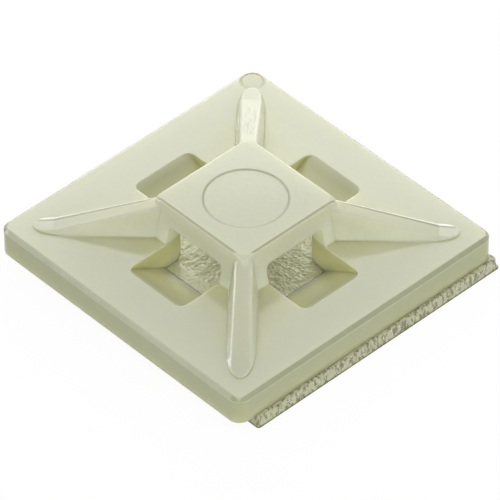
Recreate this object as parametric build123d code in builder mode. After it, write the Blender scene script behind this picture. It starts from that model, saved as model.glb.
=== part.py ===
"""Square four-way adhesive-backed cable tie mount.

Millimetres, +Z up. The origin is the middle of the plastic base's outline, on the
surface that the mount is stuck to, so the release liner lies on Z = 0.
A tie enters any slot in the base floor, slides down its ramp, runs under the raised
platform and comes out of the slot opposite.
"""

import os
from math import atan2, cos, degrees, radians, sin, sqrt

from build123d import *

os.makedirs("parts", exist_ok=True)

# Adhesive layers under the moulding
liner_thickness = 0.1
foam_thickness = 0.75
foam_width = 25.4
foam_length = 24.1
foam_shift_x = 0.45
foam_shift_y = 0.8
foam_corner_radius = 0.25

# Base plate
base_side = 25.4
base_thickness = 2.3
base_corner_radius = 1.0
base_edge_chamfer = 0.3

# Raised block whose roof is the platform
platform_side = 9.3
block_foot_side = 10.7
platform_rise = 3.1
platform_corner_cut = 0.55
platform_corner_angle = 24
platform_edge_fillet = 0.15
block_corner_fillet = 0.5

# Tie passages: four slots, each with a ramp, and two tunnels that cross
passage_width = 5.6
slot_reach = 9.1
slot_corner_radius = 0.7
ramp_foot_reach = 5.3
tunnel_rise = 1.6
tunnel_roof_fillet = 0.5
pillar_inner_radius = 1.9

# Diagonal ribs from the platform's corners to the base's corners
rib_reach = 15.4
rib_foot_width = 2.15
rib_crest_width = 1.3
rib_start_drop = 0.4
rib_slope_reach = 13.9
rib_slope_end_rise = 0.25
rib_tip_rise = 0.12
rib_nose_length = 3.0
rib_edge_radius = 0.3

# Moulding marks
disc_diameter = 6.2
disc_depth = 0.08
pin_mark_diameter = 1.75
pin_mark_inset = 1.13
pin_mark_depth = 0.08

# Levels and places that follow from the sizes above
foam_level = liner_thickness
underside_level = foam_level + foam_thickness
floor_level = underside_level + base_thickness
platform_level = floor_level + platform_rise
roof_level = floor_level + tunnel_rise
block_corner = platform_side / sqrt(2)
rib_root = block_corner - platform_corner_cut
block_taper = degrees(atan2((block_foot_side - platform_side) / 2, platform_rise))


def across_rib(reach):
    """Plane that cuts a rib square to its length, with its origin on the floor."""
    return Plane(origin=(reach, 0, floor_level), x_dir=(0, 1, 0), z_dir=(1, 0, 0))


def rib_section(rise):
    """Trapezium across a rib: wide foot, narrow crest with rounded edges."""
    foot = rib_foot_width / 2
    crest = rib_crest_width / 2
    outline = Polygon((-foot, 0), (foot, 0), (crest, rise), (-crest, rise), align=None)
    fillet(outline.vertices().sort_by(Axis.Y)[-2:], radius=rib_edge_radius)


# One rib along +X, with a nose that is half an ellipse
with BuildPart() as rib:
    with BuildSketch(across_rib(rib_root)):
        rib_section(platform_rise - rib_start_drop)
    with BuildSketch(across_rib(rib_slope_reach)):
        rib_section(rib_slope_end_rise)
    with BuildSketch(across_rib(rib_reach)):
        rib_section(rib_tip_rise)
    loft(ruled=True)
    with BuildSketch(Plane.XY.offset(floor_level)):
        shoulder = rib_reach - rib_nose_length
        half = rib_foot_width / 2
        with BuildLine():
            Line((rib_root, -half), (rib_root, half))
            Line((rib_root, half), (shoulder, half))
            EllipticalCenterArc((shoulder, 0), rib_nose_length, half, start_angle=-90, arc_size=180)
            Line((shoulder, -half), (rib_root, -half))
        make_face()
    extrude(amount=platform_rise, mode=Mode.INTERSECT)

# The air inside the mount: a cross in plan, closed below by the ramps
with BuildPart() as passages:
    with BuildSketch(Plane.XY.offset(underside_level)) as cross:
        RectangleRounded(2 * slot_reach, passage_width, slot_corner_radius)
        RectangleRounded(passage_width, 2 * slot_reach, slot_corner_radius)
        reach = passage_width / sqrt(2)
        inner = cross.vertices().filter_by(lambda v: abs(Vector(v.X, v.Y).length - reach) < 0.01)
        fillet(inner, radius=pillar_inner_radius)
    extrude(amount=roof_level - underside_level)
    fillet(passages.edges().group_by(Axis.Z)[-1], radius=tunnel_roof_fillet)

# The same space in elevation: ramps up to the floor, then straight up past the roof
with BuildPart() as ramps:
    with BuildSketch(Plane.XY.offset(underside_level)):
        Rectangle(2 * ramp_foot_reach, 2 * ramp_foot_reach)
    with BuildSketch(Plane.XY.offset(floor_level)):
        Rectangle(2 * slot_reach, 2 * slot_reach)
    loft()
    with BuildSketch(Plane.XY.offset(floor_level)):
        Rectangle(2 * slot_reach, 2 * slot_reach)
    extrude(amount=tunnel_rise)

with BuildPart() as tie_ways:
    add(passages.part)
    add(ramps.part, mode=Mode.INTERSECT)

# Block under the platform: tapered, with its four top corners sloped off
with BuildPart() as block:
    with BuildSketch(Plane.XY.offset(floor_level)):
        Rectangle(block_foot_side, block_foot_side)
    extrude(amount=platform_rise, taper=block_taper)
    corners = block.edges().filter_by(lambda edge: abs(edge.tangent_at(0).Z) > 0.5)
    fillet(corners, radius=block_corner_fillet)
    fillet(block.faces().sort_by(Axis.Z)[-1].edges(), radius=platform_edge_fillet)
    for turn in (45, 135, 225, 315):
        outward = Vector(1, 0, 0).rotate(Axis.Z, turn)
        slope = Plane(
            origin=outward * rib_root + Vector(0, 0, platform_level),
            z_dir=outward * sin(radians(platform_corner_angle))
            + Vector(0, 0, cos(radians(platform_corner_angle))),
        )
        split(bisect_by=slope, keep=Keep.BOTTOM)

# Moulding: base plate, block, ribs, then everything that is cut away
with BuildPart() as mount_body:
    with BuildSketch(Plane.XY.offset(underside_level)):
        RectangleRounded(base_side, base_side, base_corner_radius)
    extrude(amount=base_thickness)
    chamfer(mount_body.edges().group_by(Axis.Z)[-1], length=base_edge_chamfer)
    add(block.part)
    with PolarLocations(0, 4, start_angle=45):
        add(rib.part)
    add(tie_ways.part, mode=Mode.SUBTRACT)
    with BuildSketch(Plane.XY.offset(platform_level)):
        Circle(disc_diameter / 2)
    extrude(amount=-disc_depth, mode=Mode.SUBTRACT)
    pin_mark_place = base_side / 2 - pin_mark_inset
    with BuildSketch(Plane.XY.offset(floor_level)):
        with Locations((-pin_mark_place, pin_mark_place)):
            Circle(pin_mark_diameter / 2)
    extrude(amount=-pin_mark_depth, mode=Mode.SUBTRACT)

# Foam tape, as wide as the base but cut shorter, and stuck on a little askew of it
with BuildPart() as foam_tape:
    with BuildSketch(Plane.XY.offset(foam_level)):
        with Locations((foam_shift_x, foam_shift_y)):
            RectangleRounded(foam_width, foam_length, foam_corner_radius)
    extrude(amount=foam_thickness)

# Peel-off liner under the tape
with BuildPart() as release_liner:
    with BuildSketch(Plane.XY):
        with Locations((foam_shift_x, foam_shift_y)):
            RectangleRounded(foam_width, foam_length, foam_corner_radius)
    extrude(amount=liner_thickness)

mount_body.part.label = "mount_body"
foam_tape.part.label = "foam_tape"
release_liner.part.label = "release_liner"

export_step(mount_body.part, "parts/mount_body.step")
export_step(foam_tape.part, "parts/foam_tape.step")
export_step(release_liner.part, "parts/release_liner.step")
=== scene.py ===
"""Looks of a square adhesive-backed cable tie mount in natural nylon.

Metres, +Z up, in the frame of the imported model: the origin is the middle of the plastic base
and the liner lies on Z = 0.
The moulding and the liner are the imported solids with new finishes. The foam tape is a new
surface, wrinkled where the opening in the moulding shows it and ragged along its cut edge.
"""

import bpy
import numpy as np
from mathutils import Matrix, Vector


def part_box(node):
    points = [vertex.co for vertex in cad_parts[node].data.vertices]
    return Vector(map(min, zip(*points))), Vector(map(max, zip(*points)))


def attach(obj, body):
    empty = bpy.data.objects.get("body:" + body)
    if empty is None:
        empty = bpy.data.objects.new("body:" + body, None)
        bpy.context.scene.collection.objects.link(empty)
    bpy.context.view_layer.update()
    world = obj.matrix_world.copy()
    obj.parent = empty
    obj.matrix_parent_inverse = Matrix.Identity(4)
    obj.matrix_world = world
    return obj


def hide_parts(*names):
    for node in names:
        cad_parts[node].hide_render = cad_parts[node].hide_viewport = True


MM = 0.001
DIAGONAL = np.sqrt(0.5)

# Camera of the photograph, measured on a 500 x 500 frame
PHOTO_SIDE = 500
FOCAL_PIXELS = 5603.8
VIEW_AZIMUTH = np.radians(46.805)
VIEW_ELEVATION = np.radians(42.947)
VIEW_DISTANCE = 406.24 * MM
VIEW_TARGET = Vector((0, 0, 0.85 * MM))
VIEW_ROLL = np.radians(-0.277)
FRAME_LEFT_PIXELS = 3.767
FRAME_DOWN_PIXELS = 2.792
SENSOR_WIDTH = 36
NEAREST_VIEW = 10 * MM
FARTHEST_VIEW = 10

# Lamps all round, most of the light from behind. Each row is a lamp's name, azimuth and
# elevation in degrees, distance and side in millimetres, power in watts, and what it gives.
# A lamp that gives only shine is there for its mirror image on the nylon's slopes and edges.
LAMPS = [
    ("key", 225.6, 38, 60, 50, 0.0092, "light and shine"),
    ("back", 226.8, 15, 300, 150, 0.30, "light"),
    ("top", 226.8, 85, 300, 200, 0.14, "light"),
    ("left", 306.8, 50, 300, 200, 0.19, "light"),
    ("right", 136.8, 30, 300, 200, 0.25, "light"),
    ("front", 46.8, 12, 300, 200, 0.48, "light"),
    ("back_sheen", 226.8, 23, 60, 50, 0.013, "shine"),
    ("left_crest_sheen", 257, 30, 200, 80, 0.03, "shine"),
    ("right_crest_sheen", 197, 30, 200, 80, 0.012, "shine"),
    ("left_sheen", 290, 32, 200, 130, 0.30, "shine"),
    ("left_edge_sheen", 322, 30, 200, 60, 0.03, "shine"),
    ("right_sheen", 168, 30, 200, 70, 0.03, "shine"),
]
SKY_STRENGTH = 0.13
FLOOR_REACH = 1.0
FLOOR_GLOW = 1.05
FLOOR_GLOW_SHARE = 0.9

# Levels above the liner's underside, or reaches from the middle, between which the nylon's tone
# changes, and the whole length that the ramp of each covers
LOW_SPAN = 4 * MM
LOW_LEVELS = (2.8 * MM, 3.2 * MM)
WALL_FOOT_LEVELS = (0.84 * MM, 1.6 * MM)
RAMP_LEVELS = (1.4 * MM, 3.2 * MM)
CHAMFER_LEVELS = (2.848 * MM, 2.856 * MM)
RAISED_LEVELS = (3.16 * MM, 3.32 * MM)
PLAN_SPAN = 20 * MM
CHAMFER_REACHES = (12.38 * MM, 12.42 * MM)
SLOT_REACHES = (9.3 * MM, 10.2 * MM)
RIB_REACHES = (5.0 * MM, 5.4 * MM)
PLATFORM_SPAN = 8 * MM
DISC_LEVELS = (5.92 * MM, 6.0 * MM)
RIM_LEVELS = (6.08 * MM, 6.12 * MM)
RIM_SPAN = 10 * MM
RIM_END_REACHES = (5.7 * MM, 5.9 * MM)
CREST_SPAN = 1 * MM
STREAK_HALF_WIDTHS = (0.3 * MM, 0.5 * MM)
STREAK_REACHES = (7.6 * MM, 8.8 * MM, 11.6 * MM, 12.8 * MM)

# Grey levels of a ramp that rises, falls, or rises and falls again
RISE = (0.0, 1.0)
FALL = (1.0, 0.0)
HUMP = (0.0, 1.0, 1.0, 0.0)

# Thin lines on the nylon: places, and how far each line reaches to both sides. They are painted
# shade round the disc and the pin mark and inside the platform's front edges, and a painted shade
# line and a painted highlight along the side ribs' far crest edges.
DISC_RADIUS = 3.1 * MM
PIN_MARK_RADIUS = 0.875 * MM
PIN_MARK_PLACE = (-11.57 * MM, 11.57 * MM)
RING_LINE_REACH = 0.16 * MM
RIM_PLACE = 4.52 * MM
RIM_LINE_REACH = 0.13 * MM
CREST_HIGHLIGHT_PLACE = 0.62 * MM
CREST_SHADE_PLACE = 0.416 * MM
CREST_LINE_REACH = 0.12 * MM

# Nylon's grain, from the largest, the reach of its painted shade and edge marks, and how it
# takes light
CLOUD_SIZE = 5 * MM
MOTTLE_SIZE = 0.8 * MM
SKIN_SIZE = 0.35 * MM
STREAK_SIZE = 0.12 * MM
STREAK_STRETCH = 12
PAINTED_SHADE_REACH = 4 * MM
CREASE_SHADE_REACH = 0.3 * MM
SOFT_EDGE_RADIUS = 0.13 * MM
BESIDE_EDGE_TURNS = (0.006, 0.014, 0.03, 0.045)
ON_EDGE_TURNS = (0.035, 0.06)
NYLON_ROUGHNESS = 0.10
NYLON_IOR = 1.53
NYLON_SCATTER = 0.8
NYLON_SCATTER_TINT = (1.0, 0.95, 0.6)
NYLON_SCATTER_DEPTH = 1.6 * MM
SKIN_DEPTH = 0.008 * MM

# Foam tape: wrinkles in the moulding's opening, the ragged rim, its grain and the reach of its
# painted shade
WRINKLED_REACH = 5.6 * MM
WRINKLE_STEP = 0.07 * MM
WRINKLE_DEPTH = 0.12 * MM
WRINKLE_FADE = 0.3 * MM
WRINKLE_CELL = 0.36 * MM
FINE_WRINKLE_CELL = 0.18 * MM
WRINKLE_BEND = 0.12 * MM
BEND_CELL = 0.5 * MM
COARSE_RINGS = 6
RIM_WIDTH = 1.4 * MM
RIM_RINGS = 9
RIM_GAP = 0.2 * MM
RAGGED_DEPTH = 0.28 * MM
RAGGED_CELL = 0.55 * MM
FINE_RAGGED_CELL = 0.2 * MM
FOAM_CORNER_RADIUS = 0.25 * MM
FOAM_POINTS_ROUND = 880
FOAM_CUT_REACHES = (11.1 * MM, 11.7 * MM)
FOAM_CELL = 0.24 * MM
FOAM_CELL_HEIGHT = 2.9
FOAM_CELL_DEPTH = 0.05 * MM
FOAM_SPECK_SIZE = 0.16 * MM
FOAM_CLOUD_SIZE = 2.5 * MM
FOAM_PAINTED_SHADE_REACH = 1.5 * MM
FOAM_ROUGHNESS = 0.16
FOAM_IOR = 1.5

# Corners of the lattice behind a noise, after which it repeats
LATTICE_COUNT = 256

# Colours of the nylon, with its painted shade, painted glow and painted highlights
CREAM = (0.65, 0.66, 0.50)
# Painted shade: the base's walls, a darker copy of the cream
WALL_SHADE = (0.44, 0.47, 0.29)
# Painted light: the walls' lighter foot
WALL_FOOT_GLOW = (0.59, 0.61, 0.36)
# Painted shade on the base's chamfer
CHAMFER_SHADE = (0.38, 0.41, 0.26)
# Painted glow: a paler warm tone on the slots' shaded ramps
SLOT_GLOW = (0.97, 0.95, 0.58)
# Where surfaces crowd together: painted shade on floors and a paler painted glow on raised sides
SHADED_FLOOR = (0.66, 0.66, 0.30)
GLOW_ON_SHADED_SIDE = (0.96, 0.98, 0.83)
CLOUD = (0.64, 0.64, 0.45)
MOTTLE = (0.60, 0.58, 0.42)
# Painted shade in creases, round the disc and the pin mark and along the platform's front rim
CREASE_SHADE = (0.30, 0.28, 0.15)
# Dark of the painted shade beside rounded edges and on the side ribs' crests, also of the back
# rib's short streaks
EDGE_DARK = (0.36, 0.36, 0.24)
# Painted highlight on rounded edges
EDGE_HIGHLIGHT = (0.88, 0.88, 0.74)
# Painted highlight along the side ribs' far crest edges
CREST_HIGHLIGHT = (0.97, 0.97, 0.93)

# Colours of the tape, with its painted shade and painted glints, the liner and what stands
# round them
FOAM_PALE = (0.88, 0.89, 0.68)
# Painted shade on the tape where the moulding crowds over it
FOAM_SHADED = (0.66, 0.66, 0.30)
FOAM_CLOUD = (0.50, 0.46, 0.34)
FOAM_CUT = (0.62, 0.62, 0.42)
FOAM_DARK = (0.22, 0.21, 0.11)
# Pale specks: painted glints on the skin, the foam's own specks on the cut edge
FOAM_SPECK_AND_GLINT = (0.90, 0.90, 0.74)
LINER_DARK = (0.06, 0.054, 0.025)
LINER_WORN = (0.16, 0.145, 0.07)
FLOOR_PALE = (0.7, 0.7, 0.7)
WHITE = (1, 1, 1)


class Field:
    """A number that varies over a surface. It wraps a socket, and arithmetic adds Math nodes."""

    def __init__(self, finish, socket):
        self.finish = finish
        self.socket = socket

    def _math(self, operation, first, second):
        inputs = {0: first, 1: second}
        return self.finish.node("ShaderNodeMath", {"operation": operation}, inputs)

    def __add__(self, other):
        return self._math("ADD", self, other)

    def __radd__(self, other):
        return self._math("ADD", other, self)

    def __sub__(self, other):
        return self._math("SUBTRACT", self, other)

    def __rsub__(self, other):
        return self._math("SUBTRACT", other, self)

    def __mul__(self, other):
        return self._math("MULTIPLY", self, other)

    def __rmul__(self, other):
        return self._math("MULTIPLY", other, self)

    def __abs__(self):
        return self._math("ABSOLUTE", self, 0)

    def larger(self, other):
        """The larger of this number and another at each point."""
        return self._math("MAXIMUM", self, other)


class Finish:
    """A material, or the world, and its node tree."""

    def __init__(self, owner):
        self.owner = owner
        owner.use_nodes = True
        self.tree = owner.node_tree
        self.tree.nodes.clear()

    def node(self, kind, settings=None, inputs=None, output=0):
        """Adds one node: its settings first, then each input's value or link."""
        made = self.tree.nodes.new(kind)
        for name, value in (settings or {}).items():
            if name == "stops":
                self._set_stops(made.color_ramp, value)
            else:
                setattr(made, name, value)
        for name, value in (inputs or {}).items():
            if isinstance(value, Field):
                self.tree.links.new(value.socket, made.inputs[name])
            else:
                made.inputs[name].default_value = value
        return Field(self, made.outputs[output]) if made.outputs else made

    @staticmethod
    def _set_stops(ramp, stops):
        """Gives a ramp its stops, each a place from 0 to 1 and a grey level."""
        while len(ramp.elements) < len(stops):
            ramp.elements.new(0.5)
        for element, (position, level) in zip(ramp.elements, stops):
            element.position = position
            element.color = (level, level, level, 1)

    def place(self):
        """Where a point is on the object, in metres."""
        return self.node("ShaderNodeTexCoord", output="Object")

    def axes(self):
        """The three parts of a point's place."""
        inputs = {"Vector": self.place()}
        return [self.node("ShaderNodeSeparateXYZ", None, inputs, part) for part in range(3)]

    def open_air(self, reach):
        """1 in the open, and less where other surfaces stand within this reach."""
        inputs = {"Distance": reach}
        return self.node("ShaderNodeAmbientOcclusion", {"samples": 12}, inputs, "AO")

    def turned_from_flat(self, rounded):
        """How far a rounded edge's normal turns away from the flat faces: 1 minus the cosine."""
        true = self.node("ShaderNodeNewGeometry", output="True Normal")
        inputs = {0: rounded, 1: true}
        along = self.node("ShaderNodeVectorMath", {"operation": "DOT_PRODUCT"}, inputs, "Value")
        return 1 - along

    def noise(self, size, detail=3, stretch=(1, 1, 1), turn=0):
        """Cloudy noise from 0 to 1 whose features are about size across, stretched along axes
        that are turned about the upright one."""
        inputs = {"Vector": self.place(), "Rotation": (0, 0, turn), "Scale": stretch}
        place = self.node("ShaderNodeMapping", {"vector_type": "TEXTURE"}, inputs)
        inputs = {"Vector": place, "Scale": 1 / size, "Detail": detail, "Roughness": 0.55}
        return self.node("ShaderNodeTexNoise", None, inputs)

    def ramp(self, field, places, levels):
        """A field from 0 to 1 through a ramp that has a grey level at each place."""
        return self.node("ShaderNodeValToRGB", {"stops": [*zip(places, levels)]}, {"Fac": field})

    def graded(self, length, places, levels, span):
        """A length through a ramp of grey levels. The places are lengths as well, and the ramp
        covers lengths from 0 to span."""
        return self.ramp(length * (1 / span), [place / span for place in places], levels)

    def thin_line(self, away, reach, core):
        """1 on a line and 0 past its reach, from the distance away from its middle. Core is the
        share of the reach on which the line keeps its full strength."""
        return self.graded(away, (core * reach, reach), FALL, reach)

    def ring_line(self, centre, radius):
        """1 on a thin upright ring about a centre."""
        flat = {"Vector": self.place(), "Location": (-centre[0], -centre[1], 0), "Scale": (1, 1, 0)}
        place = self.node("ShaderNodeMapping", {"vector_type": "POINT"}, flat)
        away = self.node("ShaderNodeVectorMath", {"operation": "LENGTH"}, {0: place}, "Value")
        return self.thin_line(abs(away - radius), RING_LINE_REACH, core=0.3)

    def mix(self, factor, first, second):
        """A colour between two colours."""
        inputs = {"Factor": factor, 6: rgba(first), 7: rgba(second)}
        return self.node("ShaderNodeMix", {"data_type": "RGBA"}, inputs, output=2)

    def bump(self, height, depth, normal=None):
        """The surface's normal, tilted by a height from 0 to 1 that is worth depth metres."""
        inputs = {"Height": height, "Distance": depth, "Strength": 1.0}
        if normal is not None:
            inputs["Normal"] = normal
        return self.node("ShaderNodeBump", None, inputs)

    def seen_directly(self):
        """1 for a ray from the camera, a mirror image or glass, 0 for one that lights."""
        kinds = ("Is Camera Ray", "Is Glossy Ray", "Is Transmission Ray")
        camera, glossy, glass = (self.node("ShaderNodeLightPath", output=kind) for kind in kinds)
        return self.node("ShaderNodeClamp", None, {"Value": camera + glossy + glass})

    def shade(self, **inputs):
        """Ends the material in a Principled shader with these inputs."""
        named = {name.replace("_", " "): value for name, value in inputs.items()}
        shader = self.node("ShaderNodeBsdfPrincipled", None, named)
        self.node("ShaderNodeOutputMaterial", None, {"Surface": shader})
        return self.owner


def new_finish(name):
    """A finish on a new material."""
    return Finish(bpy.data.materials.new(name))


def rgba(colour):
    """A colour with full alpha, or a field as it is."""
    return colour if isinstance(colour, Field) else (*colour, 1)


def nylon_tones_and_painted_light(nylon, outward, height, raised):
    """The nylon's tones: cream above; on the base's walls a darker copy as painted shade, lighter
    again towards their foot as painted light; painted shade on its chamfer; where surfaces crowd
    together, painted shade on the floors and a paler painted glow on raised sides; and a paler
    warm painted glow on the slots' ramps."""
    low = nylon.graded(height, LOW_LEVELS, FALL, LOW_SPAN)
    # Painted light: the walls grow lighter towards their foot
    foot = nylon.graded(height, WALL_FOOT_LEVELS, FALL, LOW_SPAN)
    # Painted shade on the walls below the floor's level, lighter towards their foot by painted
    # light
    tone = nylon.mix(low, CREAM, nylon.mix(foot, WALL_SHADE, WALL_FOOT_GLOW))
    # Painted shade on the base's chamfer band
    chamfer = nylon.graded(height, CHAMFER_LEVELS, RISE, LOW_SPAN)
    chamfer = chamfer * nylon.graded(outward, CHAMFER_REACHES, RISE, PLAN_SPAN)
    tone = nylon.mix(chamfer, tone, CHAMFER_SHADE)
    # Where surfaces crowd together: painted shade on the floors, a paler painted glow on raised
    # sides
    in_shade = nylon.ramp(nylon.open_air(PAINTED_SHADE_REACH), (0.35, 1.0), FALL)
    tone = nylon.mix(in_shade * 0.9, tone, nylon.mix(raised, SHADED_FLOOR, GLOW_ON_SHADED_SIDE))
    # Painted glow on the slots' ramps
    in_slot = nylon.graded(height, RAMP_LEVELS, FALL, LOW_SPAN)
    in_slot = in_slot * nylon.graded(outward, SLOT_REACHES, FALL, PLAN_SPAN)
    return nylon.mix(in_slot, tone, SLOT_GLOW)


def back_rib_streaks(nylon, x, y, raised):
    """1 in the short dark streaks along the crest of the back rib."""
    on_crest = nylon.graded((y - x) * DIAGONAL, STREAK_REACHES, HUMP, PLAN_SPAN)
    sideways = abs(x + y) * DIAGONAL
    on_crest = on_crest * nylon.graded(sideways, STREAK_HALF_WIDTHS, FALL, CREST_SPAN) * raised
    stretch = (1, STREAK_STRETCH, STREAK_STRETCH)
    streaks = nylon.noise(STREAK_SIZE, detail=1, stretch=stretch, turn=np.pi / 4)
    return nylon.ramp(streaks, (0.37, 0.49), FALL) * on_crest


def front_rim_shade(nylon, x, y, height):
    """1 on the line of painted shade inside the platform's two front edges, up to where the front
    rib starts.
    """
    line = nylon.thin_line(abs(x.larger(0 - y) - RIM_PLACE), RIM_LINE_REACH, core=0.4)
    line = line * nylon.graded(height, RIM_LEVELS, RISE, PLATFORM_SPAN)
    return line * nylon.graded((x - y) * DIAGONAL, RIM_END_REACHES, FALL, RIM_SPAN)


def natural_nylon():
    """Cream nylon, slightly translucent. Over its tones, with their painted shade and glow, lie the
    grain of a moulded skin, painted shade in creases, short dark streaks, thin lines of painted
    shade and painted highlight, and the rounded edges, which carry a painted highlight with a
    border of painted shade."""
    nylon = new_finish("natural_nylon")
    x, y, height = nylon.axes()
    outward = abs(x).larger(abs(y))
    raised = nylon.graded(height, RAISED_LEVELS, RISE, LOW_SPAN)
    on_ribs = nylon.graded(outward, RIB_REACHES, RISE, PLAN_SPAN) * raised
    off_ribs = 1 - on_ribs * 0.8
    clouds = nylon.noise(CLOUD_SIZE, detail=4)
    mottle = nylon.noise(MOTTLE_SIZE)
    skin = nylon.noise(SKIN_SIZE, detail=4)
    crease_shade = nylon.ramp(nylon.open_air(CREASE_SHADE_REACH), (0.4, 0.8), FALL)
    dark_streaks = back_rib_streaks(nylon, x, y, raised)

    tone = nylon_tones_and_painted_light(nylon, outward, height, raised)
    tone = nylon.mix((clouds - 0.5) * 0.45 + 0.08, tone, CLOUD)
    tone = nylon.mix((mottle - 0.4) * 0.35 + (skin - 0.5) * 0.4, tone, MOTTLE)
    # Painted shade in the creases
    tone = nylon.mix(crease_shade * 0.2, tone, CREASE_SHADE)
    # Short dark streaks along the back rib's crest, a little rougher
    tone = nylon.mix(dark_streaks * 0.8, tone, EDGE_DARK)

    # Painted shade and a painted highlight along the side ribs' far crest edges
    backward = (y - x) * DIAGONAL
    crest_shade = nylon.thin_line(abs(backward - CREST_SHADE_PLACE), CREST_LINE_REACH, core=0.5)
    crest_highlight = nylon.thin_line(abs(backward - CREST_HIGHLIGHT_PLACE), CREST_LINE_REACH, core=0.5)
    tone = nylon.mix(crest_shade * on_ribs * 0.8, tone, EDGE_DARK)
    tone = nylon.mix(crest_highlight * on_ribs, tone, CREST_HIGHLIGHT)

    # Painted shade: dark rings at the steps round the disc and the pin mark; the disc's is darker
    # towards the front
    disc_line = nylon.ring_line((0, 0), DISC_RADIUS)
    disc_line = disc_line * nylon.graded(height, DISC_LEVELS, RISE, PLATFORM_SPAN)
    pin_line = nylon.ring_line(PIN_MARK_PLACE, PIN_MARK_RADIUS)
    from_back = (x - y) * DIAGONAL + PLATFORM_SPAN / 2
    darker = nylon.graded(from_back, (1.6 * MM, 6.4 * MM), (0.3, 0.85), PLATFORM_SPAN)
    tone = nylon.mix(disc_line * darker + pin_line * 0.75, tone, CREASE_SHADE)
    # Painted shade along the platform's front rim
    tone = nylon.mix(front_rim_shade(nylon, x, y, height) * 0.75, tone, CREASE_SHADE)

    rounded = nylon.node("ShaderNodeBevel", {"samples": 6}, {"Radius": SOFT_EDGE_RADIUS})
    turned = nylon.turned_from_flat(rounded)
    edge_shade = nylon.ramp(turned, BESIDE_EDGE_TURNS, HUMP)
    edge_highlight = nylon.ramp(turned, ON_EDGE_TURNS, RISE)
    # Painted shade beside the rounded edges and a painted highlight on them, both weaker on the
    # ribs
    tone = nylon.mix(edge_shade * off_ribs * 0.45, tone, EDGE_DARK)
    tone = nylon.mix(edge_highlight * (1 - crease_shade) * (1 - disc_line) * off_ribs * 0.6, tone, EDGE_HIGHLIGHT)
    return nylon.shade(
        Base_Color=tone,
        Roughness=NYLON_ROUGHNESS + (mottle - 0.5) * 0.06 + disc_line * 0.4 + dark_streaks * 0.3,
        IOR=NYLON_IOR,
        Subsurface_Weight=NYLON_SCATTER,
        Subsurface_Radius=NYLON_SCATTER_TINT,
        Subsurface_Scale=NYLON_SCATTER_DEPTH,
        Normal=nylon.bump(skin + mottle * 0.6, SKIN_DEPTH, rounded),
    )


def foam_finish():
    """Acrylic foam: a pale shiny skin with painted shade where the moulding crowds over it and pale
    specks that are painted glints, and an olive cut edge with pores, tall cells and pale specks.
    """
    foam = new_finish("foam_tape")
    x, y, _ = foam.axes()
    cut = foam.graded(abs(x).larger(abs(y)), FOAM_CUT_REACHES, RISE, PLAN_SPAN)
    in_shade = foam.ramp(foam.open_air(FOAM_PAINTED_SHADE_REACH), (0.2, 0.8), (0.35, 0.0))
    clouds = foam.noise(FOAM_CLOUD_SIZE)
    cells = foam.noise(FOAM_CELL, stretch=(1, 1, FOAM_CELL_HEIGHT))
    dark = foam.ramp(cells, (0.40, 0.52), FALL)
    specks_and_glints = foam.ramp(foam.noise(FOAM_SPECK_SIZE, detail=1), (0.62, 0.70), RISE)
    # Painted shade where the moulding crowds over the tape
    tone = foam.mix(in_shade, FOAM_PALE, FOAM_SHADED)
    tone = foam.mix((clouds - 0.45) * 0.5, tone, FOAM_CLOUD)
    tone = foam.mix(cut, tone, FOAM_CUT)
    tone = foam.mix(dark * (0.2 + cut * 0.67), tone, FOAM_DARK)
    # Pale specks: painted glints on the skin, the foam's own specks on the cut edge
    tone = foam.mix(specks_and_glints * (0.6 + cut * 0.2), tone, FOAM_SPECK_AND_GLINT)
    return foam.shade(
        Base_Color=tone,
        Roughness=FOAM_ROUGHNESS + cut * 0.3,
        IOR=FOAM_IOR,
        Normal=foam.bump(cells, FOAM_CELL_DEPTH),
    )


def liner_finish():
    """Coated paper seen edge on: dark, with worn paler stretches."""
    liner = new_finish("release_liner")
    wear = liner.noise(1.5 * MM, detail=4)
    tone = liner.mix(liner.ramp(wear, (0.45, 0.65), RISE), LINER_DARK, LINER_WORN)
    return liner.shade(Base_Color=tone, Roughness=0.45 + wear * 0.2)


def lattice_noise(x, y, cell, seed):
    """Smooth random heights from -1 to 1: each corner of a square lattice has a random height,
    and inside a cell they blend along both sides by 3t^2 - 2t^3."""
    count = LATTICE_COUNT
    corners = np.random.default_rng(seed).uniform(-1, 1, (count, count))
    column = np.floor(x / cell).astype(int)
    row = np.floor(y / cell).astype(int)
    across = x / cell - column
    along = y / cell - row
    across = across**2 * (3 - 2 * across)
    along = along**2 * (3 - 2 * along)
    near = corners[row % count, column % count] * (1 - across)
    near = near + corners[row % count, (column + 1) % count] * across
    far = corners[(row + 1) % count, column % count] * (1 - across)
    far = far + corners[(row + 1) % count, (column + 1) % count] * across
    return near * (1 - along) + far * along


def wrinkles(x, y):
    """Heights from 0 to 1 of a crumpled skin: ridges where two warped noises cross zero."""
    warped_x = x + WRINKLE_BEND * lattice_noise(x, y, BEND_CELL, seed=11)
    warped_y = y + WRINKLE_BEND * lattice_noise(x, y, BEND_CELL, seed=12)
    coarse = 1 - np.abs(lattice_noise(warped_x, warped_y, WRINKLE_CELL, seed=13))
    fine = 1 - np.abs(lattice_noise(warped_x, warped_y, FINE_WRINKLE_CELL, seed=14))
    return 0.6 * coarse**2 + 0.4 * fine**2


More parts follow.
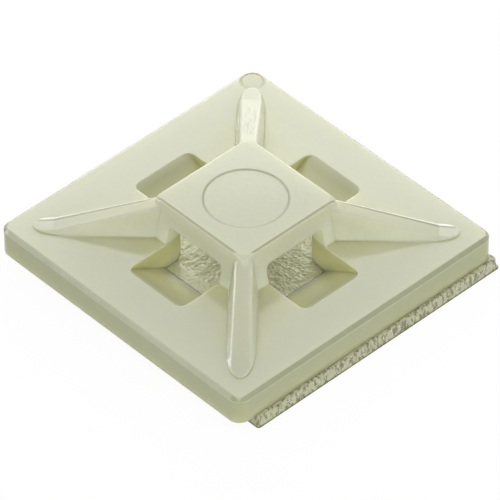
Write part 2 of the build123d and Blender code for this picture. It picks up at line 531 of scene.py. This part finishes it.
def rounded_rectangle(half_width, half_length, radius, count):
    """Points round a rounded rectangle, anticlockwise: a centre runs along a smaller one, and
    the point stands one radius out from it, turning by a quarter at each corner."""
    x = half_width - radius
    y = half_length - radius
    arc = radius * np.pi / 2
    stops = np.concatenate([[0], np.cumsum([2 * y, arc, 2 * x, arc, 2 * y, arc, 2 * x, arc])])
    corner_x = x * np.array([1, 1, 1, -1, -1, -1, -1, 1, 1])
    corner_y = y * np.array([-1, 1, 1, 1, 1, -1, -1, -1, -1])
    turn = np.pi / 2 * np.array([0, 0, 1, 1, 2, 2, 3, 3, 4])
    along = np.linspace(0, stops[-1], count, endpoint=False)
    angle = np.interp(along, stops, turn)
    x = np.interp(along, stops, corner_x) + radius * np.cos(angle)
    y = np.interp(along, stops, corner_y) + radius * np.sin(angle)
    return x, y, along


def closed_by_rings(name, x, y, z):
    """A closed skin from rings of points, each array row one ring from the top's middle,
    out over the edge and back to the bottom's middle. A pole closes each end."""
    rings, count = x.shape
    points = np.stack([x, y, z], axis=-1).reshape(-1, 3)
    poles = np.array([points[:count].mean(axis=0), points[-count:].mean(axis=0)])
    ring = np.arange(rings - 1)[:, None] * count
    here = np.arange(count)[None, :]
    beside = (here + 1) % count
    corners = [ring + here, ring + count + here, ring + count + beside, ring + beside]
    quads = np.stack(corners, axis=-1).reshape(-1, 4)
    top, bottom = len(points), len(points) + 1
    last = (rings - 1) * count
    here, beside = here.ravel(), beside.ravel()
    upper = np.stack([np.full(count, top), here, beside], axis=-1)
    lower = np.stack([np.full(count, bottom), last + beside, last + here], axis=-1)
    mesh = bpy.data.meshes.new(name)
    faces = quads.tolist() + upper.tolist() + lower.tolist()
    mesh.from_pydata(np.vstack([points, poles]).tolist(), [], faces)
    mesh.shade_smooth()
    piece = bpy.data.objects.new(name, mesh)
    bpy.context.scene.collection.objects.link(piece)
    return piece


def pad_rings(half_width):
    """How far out each ring of the pad reaches and its level, from 1 on top to 0 underneath, as
    two columns: close rings in the wrinkles, a few beyond, close ones on the rim and down the
    side, and three underneath."""
    fine = np.arange(0.5, WRINKLED_REACH / WRINKLE_STEP) * WRINKLE_STEP
    rim_start = half_width - RIM_WIDTH
    coarse = np.linspace(fine[-1] + WRINKLE_STEP, rim_start - RIM_GAP, COARSE_RINGS)
    rim = half_width - np.linspace(RIM_WIDTH, 0, RIM_RINGS)
    side_levels = np.linspace(1, 0, RIM_RINGS)[1:-1]
    side = np.full(len(side_levels), half_width)
    below = half_width * np.array([1, 0.6, 0.2])
    on_top = np.ones(len(fine) + len(coarse) + len(rim))
    reach = np.concatenate([fine, coarse, rim, side, below])
    level = np.concatenate([on_top, side_levels, 0 * below])
    return reach[:, None], level[:, None]


def foam_pad(node):
    """The tape: rings that shrink from its outline to its middle. The top sinks into wrinkles
    inside the moulding's opening. The rim is cut back by noise that fades inwards and towards
    the straight edge on the liner, so nothing stands outside the solid."""
    low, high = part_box(node)
    centre = (low + high) / 2
    half_width, half_length = (high.x - low.x) / 2, (high.y - low.y) / 2
    reach, level = pad_rings(half_width)
    outline = half_width, half_length, FOAM_CORNER_RADIUS, FOAM_POINTS_ROUND
    outline_x, outline_y, along = rounded_rectangle(*outline)
    x = centre.x + reach / half_width * outline_x
    y = centre.y + reach / half_width * outline_y
    z = low.z + (high.z - low.z) * level + 0 * x

    last_wrinkle = WRINKLED_REACH - WRINKLE_STEP / 2
    wrinkled = np.clip((last_wrinkle - reach) / WRINKLE_FADE, 0, 1) * level
    z = z - WRINKLE_DEPTH * (1 - wrinkles(x, y)) * wrinkled

    # The rim's noise runs round the outline and up it, with cells twice as tall as wide
    along = along + 0 * z
    coarse_cut = lattice_noise(along, z / 2, RAGGED_CELL, seed=21)
    fine_cut = lattice_noise(along, z / 2, FINE_RAGGED_CELL, seed=22)
    ragged = 0.5 + 0.3 * coarse_cut + 0.2 * fine_cut
    on_rim = np.clip((reach - half_width) / RIM_WIDTH + 1, 0, 1)
    inward = 1 - RAGGED_DEPTH * ragged * on_rim * np.sqrt(level) / half_width
    x = centre.x + (x - centre.x) * inward
    y = centre.y + (y - centre.y) * inward

    pad = closed_by_rings("foam_pad", x, y, z)
    pad.data.materials.append(foam_finish())
    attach(pad, "root")
    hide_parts(node)
    return pad


def direction(azimuth, elevation):
    """The unit vector from the object towards a place round it. Azimuth 0 is on the -Y side."""
    across = np.cos(elevation)
    return Vector((np.sin(azimuth) * across, -np.cos(azimuth) * across, np.sin(elevation)))


def photograph_camera():
    """The camera that took the photograph, turned by its small roll about its own axis."""
    data = bpy.data.cameras.new("photograph_camera")
    data.sensor_width = SENSOR_WIDTH
    data.lens = FOCAL_PIXELS * SENSOR_WIDTH / PHOTO_SIDE
    data.shift_x = FRAME_LEFT_PIXELS / PHOTO_SIDE
    data.shift_y = FRAME_DOWN_PIXELS / PHOTO_SIDE
    data.clip_start = NEAREST_VIEW
    data.clip_end = FARTHEST_VIEW
    back = direction(VIEW_AZIMUTH, VIEW_ELEVATION)
    level = Vector((np.cos(VIEW_AZIMUTH), np.sin(VIEW_AZIMUTH), 0))
    upright = back.cross(level)
    right = level * np.cos(VIEW_ROLL) + upright * np.sin(VIEW_ROLL)
    up = upright * np.cos(VIEW_ROLL) - level * np.sin(VIEW_ROLL)
    turn = Matrix((right, up, back)).transposed()
    camera = bpy.data.objects.new("photograph_camera", data)
    camera.matrix_world = Matrix.Translation(VIEW_TARGET + back * VIEW_DISTANCE) @ turn.to_4x4()
    bpy.context.scene.collection.objects.link(camera)
    bpy.context.scene.camera = camera


def square_lamp(name, azimuth, elevation, distance, side, power):
    """A square lamp that faces the object and that the camera doesn't see."""
    data = bpy.data.lights.new(name, "AREA")
    data.energy = power
    data.size = side
    lamp = bpy.data.objects.new(name, data)
    towards = direction(azimuth, elevation)
    lamp.location = towards * distance
    lamp.rotation_euler = towards.to_track_quat("Z", "Y").to_euler()
    lamp.visible_camera = False
    bpy.context.scene.collection.objects.link(lamp)
    return lamp


def studio_lamps():
    """The lamps of the list. One that only lights has no mirror image, and one that only
    shines gives nothing else."""
    for name, azimuth, elevation, distance, side, power, gift in LAMPS:
        towards = np.radians(azimuth), np.radians(elevation)
        lamp = square_lamp(name, *towards, distance * MM, side * MM, power)
        lamp.visible_diffuse = "light" in gift
        lamp.visible_glossy = "shine" in gift


def studio_sky():
    """A world that lights evenly and is plain white to the camera."""
    world = bpy.data.worlds.new("studio_sky")
    bpy.context.scene.world = world
    sky = Finish(world)
    white = rgba(WHITE)
    light = sky.node("ShaderNodeBackground", None, {"Color": white, "Strength": SKY_STRENGTH})
    shown = sky.node("ShaderNodeBackground", None, {"Color": white, "Strength": 1})
    choice = sky.node("ShaderNodeMixShader", None, {"Fac": sky.seen_directly(), 1: light, 2: shown})
    sky.node("ShaderNodeOutputWorld", None, {"Surface": choice})


def white_floor():
    """A plain floor that glows just white to the camera and keeps a trace of the shadow."""
    mesh = bpy.data.meshes.new("floor")
    corners = [(-1, -1), (1, -1), (1, 1), (-1, 1)]
    points = [(x * FLOOR_REACH, y * FLOOR_REACH, 0) for x, y in corners]
    mesh.from_pydata(points, [], [(0, 1, 2, 3)])
    floor = bpy.data.objects.new("floor", mesh)
    bpy.context.scene.collection.objects.link(floor)
    paint = new_finish("floor_white")
    lit = paint.node("ShaderNodeBsdfDiffuse", None, {"Color": rgba(FLOOR_PALE)})
    glow = paint.node("ShaderNodeEmission", None, {"Color": rgba(WHITE), "Strength": FLOOR_GLOW})
    share = paint.seen_directly() * FLOOR_GLOW_SHARE
    blend = paint.node("ShaderNodeMixShader", None, {"Fac": share, 1: lit, 2: glow})
    paint.node("ShaderNodeOutputMaterial", None, {"Surface": blend})
    mesh.materials.append(paint.owner)


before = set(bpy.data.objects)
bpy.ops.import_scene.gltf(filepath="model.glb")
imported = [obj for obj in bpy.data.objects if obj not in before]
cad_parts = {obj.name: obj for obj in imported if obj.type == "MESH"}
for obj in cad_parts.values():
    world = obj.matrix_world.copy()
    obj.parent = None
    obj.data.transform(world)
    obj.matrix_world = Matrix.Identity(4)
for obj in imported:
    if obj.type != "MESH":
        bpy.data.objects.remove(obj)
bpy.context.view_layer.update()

photograph_camera()
studio_lamps()
studio_sky()
white_floor()

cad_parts["mount_body"].material_slots[0].material = natural_nylon()
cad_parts["release_liner"].material_slots[0].material = liner_finish()
foam_pad("foam_tape")

bpy.context.scene.view_settings.view_transform = "Standard"
